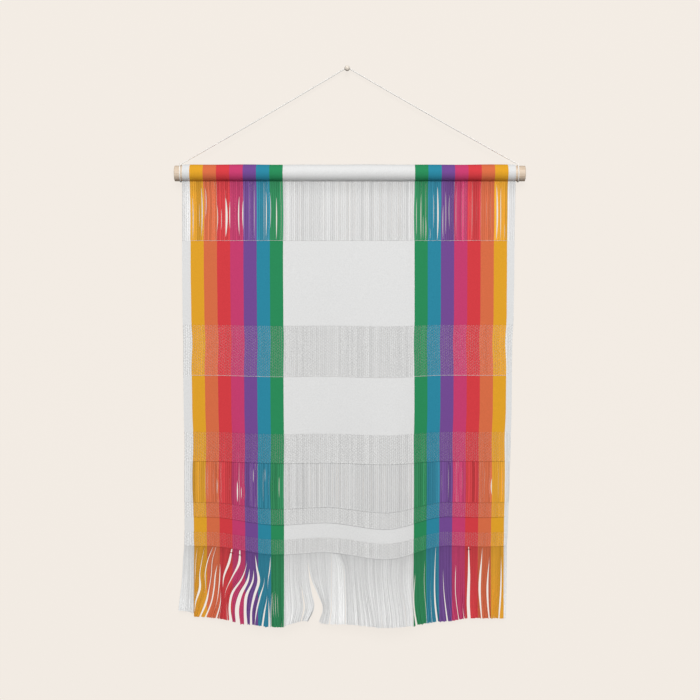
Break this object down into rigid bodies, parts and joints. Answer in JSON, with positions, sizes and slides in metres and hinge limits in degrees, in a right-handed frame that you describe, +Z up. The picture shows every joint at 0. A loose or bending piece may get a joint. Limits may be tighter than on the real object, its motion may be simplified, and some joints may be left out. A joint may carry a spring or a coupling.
{
  "type": "textile wall hanging on a wooden dowel",
  "caption": "Woven wall hanging with upright stripes, bands of open warp and a loose fringe, on a round wooden dowel hung by a string from a wall pin.",
  "frame": {"origin": "where the wall pin's shaft enters the wall; the wall is the plane y = 0", "axes": "+Z up, the cloth's front faces -Y, +X to the right of someone who looks at the front"},
  "size_m": [0.4264, 0.0409, 0.6836],
  "materials": {
    "striped_weave": "matt woven cotton with upright stripes in yellow, orange, red, pink, purple, blue and green at both sides of a white middle",
    "cotton_string": "matt twisted cotton",
    "pale_wood": "sanded, unvarnished",
    "pin_steel": "drawn wire"
  },
  "bodies": {
    "root": {"cloth": "striped_weave", "fringe": "striped_weave", "dowel": "pale_wood", "hanging_cord": "cotton_string", "cord_loop_left": "cotton_string", "cord_loop_right": "cotton_string", "wall_pin_head": "pale_wood", "wall_pin_shaft": "pin_steel"}
  },
  "joints": []
}
